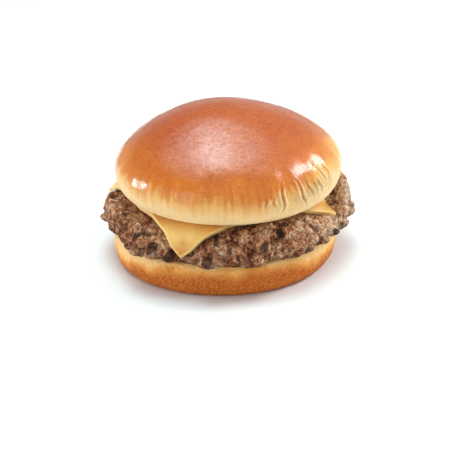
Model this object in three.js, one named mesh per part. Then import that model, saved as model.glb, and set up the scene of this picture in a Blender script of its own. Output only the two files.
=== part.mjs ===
// A cheeseburger of four stacked foods: the heel of the bun, a coarse beef patty, a slice of cheese whose
// corners bend down over the patty's rim, and the domed crown of the bun.
// Millimetres, +Z up. The burger stands on z = 0, centred on its bounding box, and its front faces -Y.
import * as THREE from "three";
import { mergeVertices } from "three/addons/utils/BufferGeometryUtils.js";

// ---- Driving dimensions ---------------------------------------------------------------------------------

const CLEARANCE = 0.4; // air left between two foods that lie on each other

// Each food lies a little off the burger's axis: `offset` is [x, y] of its own axis.
const HEEL = {
  offset: [-1.2, 0],
  radius: 56.5,
  height: 17,
  footRadius: 51.5, // the flat underside
  cutRadius: 55, // the flat cut face on top
  cornerRadius: 2,
  widestAt: 8, // height of the widest line
  sectors: 84,
  swell: [[2, 0.006, 20], [3, 0.005, 80], [5, 0.003, 10]],
};

const PATTY = {
  radius: 61,
  thickness: 16,
  flatRadius: 43, // the top is level out to here, then rounds down to the rim
  undersideRadius: 54, // the underside is level out to here
  widestAt: 5.5, // height of the rim's outermost line above the underside
  sag: 0.6, // how far the rim hangs below the underside, out past the heel
  climb: 1.2, // how steeply the meat rises beside the edge of the slice that presses it down
  sectors: 160,
  // Crumbs of minced meat stand out along the rim. `settle` takes their mean height off again, and `heap` is
  // how high the underside lies in the endless heap of crumbs: another value lays other crumbs on the rim.
  crumbs: [{ size: 7.5, height: 2 }, { size: 4.2, height: 1.3 }],
  settle: 1.9,
  heap: 19.9,
  swell: [[8, 0.4, 30], [13, 0.45, 3]],
  // Lobes that stand out of the round and splits that go in: [direction, half width, how far out].
  lobes: [
    [12, 24, 3.9],
    [60, 20, 1.5],
    [105, 16, -1.5],
    [140, 18, 1.5],
    [180, 16, 2.6],
    [203, 5, -2],
    [219, 9, 2],
    [249, 9, -3.6],
    [280, 8, 1.6],
    [293, 5, -2],
    [322, 13, -1.6],
    [338, 4, -1.6],
  ],
  // Where the shoulder of the rim stands higher: [direction, half width, how far up].
  rises: [
    [9, 24, 7.5],
    [172, 14, 2.5],
    [285, 30, 1],
  ],
};

const SLICE = { side: 89, thickness: 2.6, cells: 20 };

const CROWN = {
  offset: [1.6, -1.1],
  radius: 56.3,
  height: 43,
  cutRadius: 48, // the flat cut face underneath
  widestAt: 11.5, // height of the widest line above the cut face
  lean: -3.6, // how far the top of the dome lies to the side of the crown's axis
  shoulder: [20, 40, 1.5], // where the dome is fuller halfway up: direction, half width, how far out
  sectors: 108,
  swell: [[2, 0.006, 30], [3, 0.006, 65], [4, 0.004, 10]],
  // Pleats where the dough wrinkled as it cooled, strongest at `direction` and fading over `halfWidth`.
  pleats: { count: 27, depth: 0.55, direction: -42, halfWidth: 30, elsewhere: 0.3 },
};

// Heights at which the foods lie on each other.
const PATTY_BASE = HEEL.height + CLEARANCE;
const PATTY_TOP = PATTY_BASE + PATTY.thickness;
const SLICE_MIDDLE = PATTY_TOP + CLEARANCE + SLICE.thickness / 2;
const CROWN_BASE = SLICE_MIDDLE + SLICE.thickness / 2 + CLEARANCE;

// The slice lies with one corner towards the front, a little left of the middle, and is not quite centred.
// `FRONT_CORNER_TURN` is the direction of that corner, from +X towards +Y.
const FRONT_CORNER_TURN = THREE.MathUtils.degToRad(-108.5);
const SLICE_SHIFT = { front: 1.5, right: -4 }; // towards the front corner, and towards the right corner

// How each corner bends: level up to `start` from the middle, then round a curve of radius `curl`
// until it slopes down by `slope`, and straight on to its tip.
const bendOf = (start, curl, degrees) => ({ start, curl, slope: THREE.MathUtils.degToRad(degrees) });
const BENDS = {
  front: bendOf(42, 16, 50),
  back: bendOf(45, 15, 35),
  right: bendOf(34, 30, 28),
  left: bendOf(49.5, 12, 45),
};

// The back of the right corner hangs lower than its front, by `depth`. It starts to at `start` from the middle
// towards that corner and does so fully at `full`, and it grows from `front` to `back` towards the back.
const HANG = { depth: 3.2, start: 38, full: 54, front: 4, back: -6 };

// ---- Helpers --------------------------------------------------------------------------------------------

const { clamp, degToRad, smoothstep } = THREE.MathUtils;

// A sum of cosine waves round the burger, each [count, size, turn in degrees].
const waves = (angle, terms) =>
  terms.reduce((sum, [count, size, turn]) => sum + size * Math.cos(count * (angle - degToRad(turn))), 0);

// Signed angle from `centre` to `angle`, both in radians, between -PI and PI.
function angleFrom(angle, centre) {
  return Math.atan2(Math.sin(angle - centre), Math.cos(angle - centre));
}

// A smooth bump of height 1 at `centre` degrees that fades over `halfWidth` degrees to each side.
const bump = (angle, centre, halfWidth) =>
  Math.exp(-((angleFrom(angle, degToRad(centre)) / degToRad(halfWidth)) ** 2));

// The sum of bumps, each [centre, half width, size], at one direction.
const bumps = (angle, rows) =>
  rows.reduce((sum, [centre, halfWidth, size]) => sum + size * bump(angle, centre, halfWidth), 0);

// A repeatable number from 0 to 1 for one cell of a cubic lattice.
function cellNumber(ix, iy, iz, channel) {
  let h = Math.imul(ix, 374761393) + Math.imul(iy, 668265263);
  h += Math.imul(iz, 1103515245) + Math.imul(channel, 362437);
  h = Math.imul(h ^ (h >>> 13), 1274126177);
  return ((h ^ (h >>> 16)) >>> 0) / 4294967296;
}

// Packed round crumbs of about `size`: 1 on the top of a crumb, down to 0 in the creases between crumbs.
function crumbs(p, size) {
  const x = p.x / size;
  const y = p.y / size;
  const z = p.z / size;
  const [bx, by, bz] = [Math.floor(x), Math.floor(y), Math.floor(z)];
  let nearest = Infinity;
  for (let ix = bx - 1; ix <= bx + 1; ix++)
    for (let iy = by - 1; iy <= by + 1; iy++)
      for (let iz = bz - 1; iz <= bz + 1; iz++) {
        const dx = ix + cellNumber(ix, iy, iz, 1) - x;
        const dy = iy + cellNumber(ix, iy, iz, 2) - y;
        const dz = iz + cellNumber(ix, iy, iz, 3) - z;
        nearest = Math.min(nearest, dx * dx + dy * dy + dz * dz);
      }
  return clamp(1 - nearest, 0, 1);
}

// Turns a profile, drawn from the axis at the bottom to the axis at the top, into a closed solid about +Z.
// Angle 0 of the result points along +X.
function lathe(profile, sectors) {
  const turned = new THREE.LatheGeometry(profile, sectors);
  turned.rotateX(Math.PI / 2);
  return weld(turned);
}

// The same geometry with only its positions, and its shared vertices joined.
function weld(geometry) {
  geometry.deleteAttribute("normal");
  geometry.deleteAttribute("uv");
  return mergeVertices(geometry, 1e-4);
}

// Moves every vertex of a geometry: `move` gets its position and outward normal, and changes the position.
function sculpt(geometry, move) {
  geometry.computeVertexNormals();
  const position = geometry.getAttribute("position");
  const normal = geometry.getAttribute("normal");
  const p = new THREE.Vector3();
  const n = new THREE.Vector3();
  for (let i = 0; i < position.count; i++) {
    p.fromBufferAttribute(position, i);
    n.fromBufferAttribute(normal, i);
    move(p, n);
    position.setXYZ(i, p.x, p.y, p.z);
  }
  geometry.deleteAttribute("normal");
  return geometry;
}

function food(name, geometry, color, roughness) {
  geometry.computeVertexNormals();
  const mesh = new THREE.Mesh(geometry, new THREE.MeshStandardMaterial({ color, roughness, metalness: 0 }));
  mesh.name = name;
  return mesh;
}

// ---- The slice's bent surface ---------------------------------------------------------------------------

const sliceCorner = SLICE.side / Math.SQRT2; // middle of the slice to a corner

// Along one diagonal: how far out and how far down a point lies that is `along` from the middle while the
// slice is flat.
function bendForward(along, ahead, behind) {
  const bend = along >= 0 ? ahead : behind;
  const sign = Math.sign(along);
  const past = Math.abs(along) - bend.start;
  if (past <= 0) return { reach: along, drop: 0, slope: 0 };
  const turned = Math.min(past / bend.curl, bend.slope);
  const straight = Math.max(0, past - bend.curl * bend.slope);
  return {
    reach: sign * (bend.start + bend.curl * Math.sin(turned) + straight * Math.cos(turned)),
    drop: bend.curl * (1 - Math.cos(turned)) + straight * Math.sin(turned),
    slope: sign * turned,
  };
}

// The same curve read from above: where on the flat slice, and how far down, the point over `reach` lies.
function bendBackward(reach, ahead, behind) {
  const bend = reach >= 0 ? ahead : behind;
  const sign = Math.sign(reach);
  const past = Math.abs(reach) - bend.start;
  if (past <= 0) return { along: reach, drop: 0, slope: 0 };
  const curved = bend.curl * Math.sin(bend.slope);
  const turned = past < curved ? Math.asin(past / bend.curl) : bend.slope;
  const straight = Math.max(0, past - curved) / Math.cos(bend.slope);
  return {
    along: sign * (bend.start + bend.curl * turned + straight),
    drop: bend.curl * (1 - Math.cos(turned)) + straight * Math.sin(bend.slope),
    slope: sign * turned,
  };
}

// The upward normal of the bent surface, with `x` towards the front corner and `y` towards the right corner.
const faceOf = (front, right) =>
  new THREE.Vector3(
    Math.sin(front.slope) * Math.cos(right.slope),
    Math.cos(front.slope) * Math.sin(right.slope),
    Math.cos(front.slope) * Math.cos(right.slope),
  ).normalize();

// How much lower the right corner's back hangs at a place that far towards the front and the right corner.
const hangAt = (front, right) =>
  HANG.depth * smoothstep(right, HANG.start, HANG.full) * (1 - smoothstep(front, HANG.back, HANG.front));

const frontWay = new THREE.Vector2(Math.cos(FRONT_CORNER_TURN), Math.sin(FRONT_CORNER_TURN));
const rightWay = new THREE.Vector2(-frontWay.y, frontWay.x);

// What lies over (x, y): `underside` is the height that stays clear of the slice, and `outside` is how far
// that place lies outside the slice's outline.
function sliceOver(x, y) {
  const [frontReach, rightReach] = [x * frontWay.x + y * frontWay.y, x * rightWay.x + y * rightWay.y];
  const front = bendBackward(frontReach, BENDS.front, BENDS.back);
  const right = bendBackward(rightReach, BENDS.right, BENDS.left);
  const [alongFront, alongRight] = [front.along - SLICE_SHIFT.front, right.along - SLICE_SHIFT.right];
  const below = (SLICE.thickness / 2 + CLEARANCE) / faceOf(front, right).z;
  return {
    underside: SLICE_MIDDLE - front.drop - right.drop - hangAt(frontReach, rightReach) - below,
    outside: (Math.abs(alongFront) + Math.abs(alongRight) - sliceCorner) / Math.SQRT2,
  };
}

// ---- The four foods -------------------------------------------------------------------------------------

function makeHeel() {
  const { offset, radius, height, footRadius, cutRadius, cornerRadius, widestAt, sectors, swell } = HEEL;
  const outline = new THREE.Path();
  outline.moveTo(0, 0);
  outline.lineTo(footRadius, 0);
  outline.bezierCurveTo(footRadius + 3, 0, radius, 3, radius, widestAt);
  const cornerStart = cutRadius - cornerRadius;
  outline.bezierCurveTo(radius, height - 2 * cornerRadius, cutRadius + 1, height, cornerStart, height);
  outline.lineTo(0, height);
  const body = sculpt(lathe(outline.getPoints(5), sectors), (p) => {
    const stretch = 1 + waves(Math.atan2(p.y, p.x), swell);
    p.x = offset[0] + p.x * stretch;
    p.y = offset[1] + p.y * stretch;
  });
  return food("bun_heel", body, "#d58b3c", 0.7);
}

function makePatty() {
  const { radius, flatRadius, undersideRadius, widestAt, sag, climb } = PATTY;
  const { sectors, settle, heap, swell, lobes, rises } = PATTY;
  const top = PATTY_TOP;
  const widest = PATTY_BASE + widestAt;
  const profile = [0, 30, 46].map((r) => new THREE.Vector2(r, PATTY_BASE));
  const [underWidth, shoulderWidth] = [radius - undersideRadius, radius - flatRadius];
  const under = new THREE.EllipseCurve(undersideRadius, widest, underWidth, widestAt, -Math.PI / 2, 0);
  const shoulder = new THREE.EllipseCurve(flatRadius, widest, shoulderWidth, top - widest, 0, Math.PI / 2);
  profile.push(...under.getSpacedPoints(4), ...shoulder.getSpacedPoints(10).slice(1));
  profile.push(...[36, 28, 0].map((r) => new THREE.Vector2(r, top)));

  const body = sculpt(lathe(profile, sectors), (p, n) => {
    const reach = Math.hypot(p.x, p.y);
    const angle = Math.atan2(p.y, p.x);
    const rim = smoothstep(reach, 34, 54);
    const stretch = (rim * (waves(angle, swell) + bumps(angle, lobes))) / reach || 0;
    const inHeap = new THREE.Vector3(p.x, p.y, p.z + heap - PATTY_BASE);
    const mince = PATTY.crumbs.reduce((sum, { size, height }) => sum + height * crumbs(inHeap, size), -settle);
    const raised = smoothstep(p.z, widest, widest + 6) * smoothstep(reach, 42, 54) * bumps(angle, rises);

    p.addScaledVector(n, rim * mince);
    p.x *= 1 + stretch;
    p.y *= 1 + stretch;
    p.z += raised;

    // It sags past the heel and rests on the heel's cut face.
    const over = Math.hypot(p.x - HEEL.offset[0], p.y - HEEL.offset[1]) - HEEL.radius;
    p.z -= sag * smoothstep(over, -2, 6);
    const floor = PATTY_BASE - sag * smoothstep(over, 1.5, 4);
    p.z = Math.max(p.z, floor);

    // It gives way under the slice, and fills the gap below the crown beside the slice.
    const slice = sliceOver(p.x, p.y);
    const upper = smoothstep(p.z, widest, top) * smoothstep(reach, flatRadius - 1, flatRadius + 5);
    p.z += SLICE.thickness * upper * smoothstep(slice.outside, 3, 7);
    const underSlice = slice.underside + climb * Math.max(0, slice.outside - 2);
    const underCrown = CROWN_BASE - CLEARANCE;
    p.z = Math.min(p.z, Math.max(Math.min(underSlice, underCrown), floor));
  });
  return food("patty", body, "#5d4335", 0.6);
}

function makeSlice() {
  const { side, thickness, cells } = SLICE;
  const body = sculpt(weld(new THREE.BoxGeometry(side, side, thickness, cells, cells, 1)), (p) => {
    // The box's x and y edges are turned so that its corners lie along the two diagonals.
    const alongFront = (p.x + p.y) / Math.SQRT2 + SLICE_SHIFT.front;
    const alongRight = (p.y - p.x) / Math.SQRT2 + SLICE_SHIFT.right;
    const front = bendForward(alongFront, BENDS.front, BENDS.back);
    const right = bendForward(alongRight, BENDS.right, BENDS.left);
    const face = faceOf(front, right);
    const out = front.reach + p.z * face.x;
    const across = right.reach + p.z * face.y;
    const hang = hangAt(front.reach, right.reach);
    const height = SLICE_MIDDLE - front.drop - right.drop - hang + p.z * face.z;
    p.set(out * frontWay.x + across * rightWay.x, out * frontWay.y + across * rightWay.y, height);
  });
  return food("cheese_slice", body, "#efb04a", 0.5);
}

function makeCrown() {
  const { offset, radius, height, cutRadius, widestAt, lean, shoulder, sectors, swell, pleats } = CROWN;
  const outline = new THREE.Path();
  outline.moveTo(0, 0);
  outline.lineTo(cutRadius, 0);
  outline.bezierCurveTo(cutRadius + 5, 0, radius, 4, radius, widestAt);
  outline.bezierCurveTo(radius, widestAt + 13, 24, height, 0, height);
  const body = sculpt(lathe(outline.getPoints(9), sectors), (p, n) => {
    const angle = Math.atan2(p.y, p.x);
    const lift = Math.max(0, p.z / height);
    const stretch = 1 + waves(angle, swell);
    const band = smoothstep(lift, 0.02, 0.2) * (1 - smoothstep(lift, 0.4, 0.7));
    const depth = pleats.depth * Math.max(pleats.elsewhere, bump(angle, pleats.direction, pleats.halfWidth));
    const fuller = bumps(angle, [shoulder]) * smoothstep(lift, 0.1, 0.5) * (1 - smoothstep(lift, 0.6, 1));
    p.addScaledVector(n, band * depth * Math.cos(pleats.count * angle));
    p.x = offset[0] + p.x * stretch + fuller * Math.cos(angle) + lean * lift ** 2.5;
    p.y = offset[1] + p.y * stretch + fuller * Math.sin(angle);
    p.z += CROWN_BASE;
  });
  return food("bun_crown", body, "#c9702c", 0.3);
}

const burger = new THREE.Group();
burger.add(makeHeel(), makePatty(), makeSlice(), makeCrown());

// Centre the burger on its bounding box.
const box = new THREE.Box3().setFromObject(burger);
const middle = box.getCenter(new THREE.Vector3());
burger.position.set(-middle.x, -middle.y, -box.min.z);

export default burger;
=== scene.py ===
# %% [markdown]
# # A cheeseburger in four foods
#
# The real thing is four foods that somebody stacked by hand: the heel of a soft bun, a coarse beef patty
# that is wider than the bun, a square slice of cheese whose warm corners droop over the patty, and the
# glazed crown of the bun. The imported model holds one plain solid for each. Here each solid gets a finely
# shaped piece of the same form. The crags, pleats and edges are real geometry, and the materials add only
# what is finer than that. All sizes are in metres, +Z is up, and the burger's front faces -Y.

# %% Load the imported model
import math

import bpy
import numpy as np
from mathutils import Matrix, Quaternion, Vector
from mathutils.geometry import interpolate_bezier


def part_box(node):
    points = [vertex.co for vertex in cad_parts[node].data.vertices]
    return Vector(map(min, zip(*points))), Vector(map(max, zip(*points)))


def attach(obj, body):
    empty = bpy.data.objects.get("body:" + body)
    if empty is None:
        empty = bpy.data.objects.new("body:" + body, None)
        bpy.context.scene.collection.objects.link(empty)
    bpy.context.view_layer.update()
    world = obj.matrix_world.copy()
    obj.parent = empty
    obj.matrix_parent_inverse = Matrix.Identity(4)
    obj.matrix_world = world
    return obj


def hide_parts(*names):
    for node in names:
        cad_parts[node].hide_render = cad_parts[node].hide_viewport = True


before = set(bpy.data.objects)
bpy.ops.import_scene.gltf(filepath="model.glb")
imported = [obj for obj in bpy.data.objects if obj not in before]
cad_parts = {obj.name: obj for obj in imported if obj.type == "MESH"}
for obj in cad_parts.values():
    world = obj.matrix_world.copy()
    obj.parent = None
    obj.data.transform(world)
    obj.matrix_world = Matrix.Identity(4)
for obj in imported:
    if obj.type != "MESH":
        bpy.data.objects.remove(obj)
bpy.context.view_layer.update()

# %% [markdown]
# ## Where each food lies
#
# Nobody stacks a burger perfectly, so each food has its own upright axis. Rather than typing the places
# in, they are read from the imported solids: the flat faces of the bun's two halves are round about their
# own axes, so the middle of such a face gives the axis. The heights come from the boxes of the solids,
# and the small gap between the foods is the one that keeps the solids apart.

# %% Read the axes and heights
GAP = 0.0004  # air between two foods
PATTY_THICKNESS = 0.016
SLICE_THICKNESS = 0.0026
HEEL_OFFSET = [-0.0012, 0]  # the heel's axis, seen from the burger's


def face_centre(node, height):
    """The middle of the solid's flat face at that height."""
    near = [v.co[:2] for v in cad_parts[node].data.vertices if abs(v.co.z - height) < 1e-5]
    return np.unique(np.round(near, 6), axis=0).mean(0)


heel_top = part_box("bun_heel")[1].z
crown_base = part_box("bun_crown")[0].z
crown_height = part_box("bun_crown")[1].z - crown_base
heel_axis = face_centre("bun_heel", 0)
crown_axis = face_centre("bun_crown", crown_base)
burger_axis = heel_axis - HEEL_OFFSET
patty_base = heel_top + GAP
patty_top = patty_base + PATTY_THICKNESS
slice_middle = patty_top + GAP + SLICE_THICKNESS / 2
print("burger axis in mm:", 1000 * burger_axis, "crown axis in mm:", 1000 * crown_axis)

# %% [markdown]
# ## The baker's lathe
#
# Both halves of a bun and the patty started as round pats of dough or meat, so each begins as an outline
# that is spun round an upright axis. A sphere or a cylinder would need its edges pulled into place
# afterwards, while an outline has the right edge from the start. The outline is extruded point by point
# from a single vertex, which is how it would be drawn by hand, and a Screw modifier without any rise
# turns it into a closed body. The Spin operator would do the same, but it welds after each step and takes
# far longer at several hundred steps.

# %% Outlines and spinning
HIDDEN_STEP = 0.006  # from point to point along a flat face that nobody sees


def deselect_all():
    bpy.ops.object.select_all(action="DESELECT")


def select_only(food):
    deselect_all()
    food.select_set(True)
    bpy.context.view_layer.objects.active = food


def curve(start, start_handle, end_handle, end):
    """A smooth Bezier line through flat [reach, height] points."""
    return [tuple(p) for p in interpolate_bezier(start, start_handle, end_handle, end, 200)]


def quarter(centre, width, height, start, end):
    """An elliptic arc about `centre`, from one angle to another in degrees."""
    turns = np.radians(np.linspace(start, end, 200))
    return [(centre[0] + width * math.cos(t), centre[1] + height * math.sin(t)) for t in turns]


def evenly(line, step):
    """The same line with its points about `step` apart."""
    line = np.array(line)
    along = np.concatenate([[0], np.cumsum(np.hypot(*np.diff(line, axis=0).T))])
    marks = np.linspace(0, along[-1], round(along[-1] / step) + 1)
    return [(np.interp(m, along, line[:, 0]), np.interp(m, along, line[:, 1])) for m in marks]


def spin_food(name, outline, sectors):
    """Extrudes one vertex along an outline of [reach, height] and spins it into a closed body."""
    deselect_all()
    bpy.ops.mesh.primitive_plane_add(size=0.001, location=(outline[0][0], 0, outline[0][1]))
    food = bpy.context.object
    food.name = food.data.name = name
    bpy.ops.object.transform_apply(location=True)
    bpy.ops.object.mode_set(mode="EDIT")
    bpy.ops.mesh.select_all(action="SELECT")
    bpy.ops.mesh.merge(type="CENTER")
    for here, there in zip(outline, outline[1:]):
        step = (there[0] - here[0], 0, there[1] - here[1])
        bpy.ops.mesh.extrude_region_move(TRANSFORM_OT_translate={"value": step})
    bpy.ops.object.mode_set(mode="OBJECT")
    finish_with(food, "SCREW", axis="Z", angle=2 * math.pi, steps=sectors, render_steps=sectors)
    bpy.ops.object.mode_set(mode="EDIT")
    bpy.ops.mesh.select_all(action="SELECT")
    bpy.ops.mesh.remove_doubles(threshold=1e-6)
    bpy.ops.mesh.normals_make_consistent(inside=False)
    bpy.ops.mesh.select_all(action="DESELECT")
    bpy.ops.object.mode_set(mode="OBJECT")
    return food


# %% [markdown]
# ## Hand work on the surface
#
# A bun rises a little out of round and a patty is pressed into lobes. Proportional editing would do this
# by eye, but the pieces have to keep the form of the solids, so the same moves are written as small
# formulas: waves round the food, bumps at a direction, and a smooth step from one value to another.
# `sculpt` hands all of a piece's points and normals to such a formula at once.

# %% Helpers for shaping


def sculpt(food, move):
    """Moves a piece's points to where `move` puts them, given the points and their outward normals."""
    mesh = food.data
    flat = np.empty(3 * len(mesh.vertices), np.float32)
    mesh.vertices.foreach_get("co", flat)
    points = flat.reshape(-1, 3).astype(float)
    mesh.vertex_normals.foreach_get("vector", flat)
    moved = move(points, flat.reshape(-1, 3).astype(float))
    mesh.vertices.foreach_set("co", moved.astype(np.float32).ravel())
    mesh.update()


def direction_of(points):
    return np.arctan2(points[:, 1], points[:, 0])


def smoothstep(value, low, high):
    t = np.clip((value - low) / (high - low), 0, 1)
    return t * t * (3 - 2 * t)


def between(value, start, full, still_full, end):
    """1 from `full` to `still_full`, fading to 0 at `start` and at `end`."""
    return smoothstep(value, start, full) * (1 - smoothstep(value, still_full, end))


def waves(angle, rows):
    """A sum of cosine waves round a food, each (count, size, turn in degrees)."""
    return sum(size * np.cos(count * (angle - math.radians(turn))) for count, size, turn in rows)


def turn_from(angle, centre):
    """How far an angle lies from `centre` degrees, the short way round."""
    return np.angle(np.exp(1j * (angle - np.radians(centre))))


def bump(angle, centre, half_width):
    """1 at `centre` degrees, fading over `half_width` degrees to each side."""
    return np.exp(-((turn_from(angle, centre) / math.radians(half_width)) ** 2))


def bumps(angle, rows):
    """A sum of bumps, each (centre, half width, size)."""
    return sum(size * bump(angle, centre, half_width) for centre, half_width, size in rows)


def paint(food, name, values):
    """Stores one number for each point, which a material can read with an Attribute node."""
    food.data.attributes.new(name, "FLOAT", "POINT").data.foreach_set("value", values.astype(np.float32))


def finish_with(food, kind, **settings):
    """Adds a modifier with these settings and applies it."""
    select_only(food)
    modifier = food.modifiers.new(kind.title(), kind)
    for name, value in settings.items():
        setattr(modifier, name, value)
    bpy.ops.object.modifier_apply(modifier=modifier.name)


def clouds(name, size):
    """A soft lumpy texture for Displace modifiers, with lumps of about `size`."""
    texture = bpy.data.textures.new(name, "CLOUDS")
    texture.noise_scale = size
    return texture


def smooth(food):
    select_only(food)
    bpy.ops.object.shade_smooth()


def report(food):
    faces = sum(len(p.vertices) - 2 for p in food.data.polygons)
    low, high = np.array(food.bound_box).min(0), np.array(food.bound_box).max(0)
    print(food.name, faces, "triangles, mm", (1000 * low).round(1), (1000 * high).round(1))


# %% [markdown]
# ## The heel of the bun
#
# The heel is a thick disc of soft bread. Its side bulges, its foot was flattened and browned by the tin,
# and the knife left a crisp edge on top. The outline is one line: flat foot, a curve out to the widest
# line, a curve in to the cut, and the flat cut face. Displace modifiers then give the crust the shallow
# dents of dough, kept off the two flat faces by a vertex group, because those have to lie true.

# %% Make the heel
HEEL_RADIUS = 0.0565
HEEL_FOOT_RADIUS = 0.0515
HEEL_CUT_RADIUS = 0.055
HEEL_CORNER = 0.002
HEEL_WIDEST = 0.008  # height of its widest line
HEEL_SWELL = [(2, 0.006, 20), (3, 0.005, 80), (5, 0.003, 10)]  # waves round it: count, size, turn
HEEL_STEP = 0.0006  # from point to point up its side
HEEL_SECTORS = 420
DOUGH_DENTS = [("dough dents", 0.011, 0.0011), ("crust grain", 0.0022, 0.0003)]  # name, size, depth


def heel_outline():
    cut_start = HEEL_CUT_RADIUS - HEEL_CORNER
    foot = curve((HEEL_FOOT_RADIUS, 0), (HEEL_FOOT_RADIUS + 0.003, 0), (HEEL_RADIUS, 0.003),
                 (HEEL_RADIUS, HEEL_WIDEST))
    side = curve((HEEL_RADIUS, HEEL_WIDEST), (HEEL_RADIUS, heel_top - 2 * HEEL_CORNER),
                 (HEEL_CUT_RADIUS + 0.001, heel_top), (cut_start, heel_top))
    flat_foot = evenly([(0, 0), (HEEL_FOOT_RADIUS, 0)], HIDDEN_STEP)
    flat_cut = evenly([(cut_start, heel_top), (0, heel_top)], HIDDEN_STEP / 2)
    return flat_foot[:-1] + evenly(foot + side[1:], HEEL_STEP) + flat_cut[1:]


def swell_heel(points, normals):
    stretch = 1 + waves(direction_of(points), HEEL_SWELL)
    points[:, :2] = heel_axis + points[:, :2] * stretch[:, None]
    return points


def dent_crust(food, weights, dents):
    """Dents the crust with (name, size, depth) textures, by a weight for each point."""
    group = food.vertex_groups.new(name="crust")
    for index, weight in enumerate(weights):
        group.add([index], float(weight), "REPLACE")
    for name, size, depth in dents:
        finish_with(food, "DISPLACE", texture=clouds(name, size), strength=depth, mid_level=0.5,
                    vertex_group="crust")


heel = spin_food("heel_bread", heel_outline(), HEEL_SECTORS)
sculpt(heel, swell_heel)
heights = np.array([v.co.z for v in heel.data.vertices])
off_flats = between(heights, 0.0002, 0.003, heel_top - 0.0035, heel_top)
dent_crust(heel, off_flats, DOUGH_DENTS)
smooth(heel)
report(heel)

# %% [markdown]
# ## The beef patty
#
# Minced meat is a packed heap of soft crumbs. On the rim of the patty each crumb stands out, the creases
# between them are dark, and the whole rim wanders in lobes and splits. A noise texture makes cloudy lumps
# without the round tops and sharp creases, so the crumbs are worked out as cells: every point finds the
# nearest of a set of scattered crumb middles, and stands out by how close it is. Two coarse sizes follow
# the solid, and two finer sizes are added on top. The same search also gives each crumb its own number,
# which the material uses later to make one crumb paler than the next.

# %% Crumbs of mince


def cell_number(cells, channel):
    """A repeatable number from 0 to 1 for each whole-numbered cell."""
    word = 0xFFFFFFFF
    h = cells @ np.array([374761393, 668265263, 1103515245]) + channel * 362437 & word
    h = (h ^ h >> 13) * 1274126177 & word
    return (h ^ h >> 16) / (word + 1)


def mince(points, size):
    """How high each point stands on its crumb, from 0 in a crease to 1 on top, and the crumb's number."""
    scaled = points / size
    home = np.floor(scaled).astype(np.int64)
    nearest = np.full(len(points), np.inf)
    number = np.zeros(len(points))
    for shift in np.ndindex(3, 3, 3):
        cell = home + shift - 1
        middle = cell + np.stack([cell_number(cell, channel) for channel in (1, 2, 3)], 1)
        distance = ((middle - scaled) ** 2).sum(1)
        closer = distance < nearest
        nearest[closer] = distance[closer]
        number[closer] = cell_number(cell, 4)[closer]
    return np.clip(1 - nearest, 0, 1), number


# %% [markdown]
# ## How the slice lies
#
# The patty has to give way where the slice presses on it, so the slice's shape comes first. It is a flat
# square turned with one corner towards the front. Along each diagonal it is level up to a start, then
# follows a round curl until it has its full slope, and runs straight on to the corner. The same curve is
# needed both ways: from the flat slice to its place, and from a place back to what part of the slice lies
# over it.

# %% The slice's bends
SLICE_SIDE = 0.089
FRONT_CORNER = math.radians(-108.5)  # direction of the front corner
SLICE_SHIFT = [0.0015, -0.004]  # towards the front corner, and towards the right corner
# How each corner bends: level up to `start`, a curl of that radius, and its slope in degrees.
BENDS = {
    "front": (0.042, 0.016, 50),
    "back": (0.045, 0.015, 35),
    "right": (0.034, 0.030, 28),
    "left": (0.0495, 0.012, 45),
}
# The right corner's back hangs lower: from `start` to `full` towards the corner, and from front to back.
HANG = {"depth": 0.0032, "start": 0.038, "full": 0.054, "front": 0.004, "back": -0.006}
front_way = np.array([math.cos(FRONT_CORNER), math.sin(FRONT_CORNER)])
right_way = np.array([-front_way[1], front_way[0]])


def bend_of(places, ahead, behind):
    """Each point's start, curl and slope, from the corner on its side of the middle."""
    rows = np.where(places[:, None] >= 0, BENDS[ahead], BENDS[behind]).T
    return rows[0], rows[1], np.radians(rows[2])


def bend_forward(along, ahead, behind):
    """Where a point `along` the flat slice comes to lie: how far out, how far down, and its slope."""
    start, curl, slope = bend_of(along, ahead, behind)
    past = np.maximum(0, np.abs(along) - start)
    turned = np.minimum(past / curl, slope)
    straight = np.maximum(0, past - curl * slope)
    side = np.sign(along)
    reach = side * (np.minimum(np.abs(along), start) + curl * np.sin(turned) + straight * np.cos(turned))
    return reach, curl * (1 - np.cos(turned)) + straight * np.sin(turned), side * turned


def bend_backward(reach, ahead, behind):
    """The same curve read from above: how far along and down the slice is over `reach`, and its slope."""
    start, curl, slope = bend_of(reach, ahead, behind)
    past = np.maximum(0, np.abs(reach) - start)
    turned = np.where(past < curl * np.sin(slope), np.arcsin(np.minimum(past / curl, 1)), slope)
    straight = np.maximum(0, past - curl * np.sin(slope)) / np.cos(slope)
    side = np.sign(reach)
    along = side * (np.minimum(np.abs(reach), start) + curl * turned + straight)
    return along, curl * (1 - np.cos(turned)) + straight * np.sin(slope), side * turned


def face_of(front_slope, right_slope):
    """The upward normal of the bent slice, along the front way, the right way and up."""
    face = np.stack([np.sin(front_slope) * np.cos(right_slope), np.cos(front_slope) * np.sin(right_slope),
                     np.cos(front_slope) * np.cos(right_slope)], 1)
    return face / np.linalg.norm(face, axis=1)[:, None]


def hang_at(front_reach, right_reach):
    """How much lower the back of the right corner hangs at a place."""
    out = smoothstep(right_reach, HANG["start"], HANG["full"])
    return HANG["depth"] * out * (1 - smoothstep(front_reach, HANG["back"], HANG["front"]))


def slice_over(points):
    """The height that stays clear of the slice over each point, and how far outside the slice that is."""
    front_reach, right_reach = points[:, :2] @ front_way, points[:, :2] @ right_way
    front, front_drop, front_slope = bend_backward(front_reach, "front", "back")
    right, right_drop, right_slope = bend_backward(right_reach, "right", "left")
    below = (SLICE_THICKNESS / 2 + GAP) / face_of(front_slope, right_slope)[:, 2]
    underside = slice_middle - front_drop - right_drop - hang_at(front_reach, right_reach) - below
    ways = np.abs(front - SLICE_SHIFT[0]) + np.abs(right - SLICE_SHIFT[1])
    return underside, (ways - SLICE_SIDE / math.sqrt(2)) / math.sqrt(2)


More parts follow.
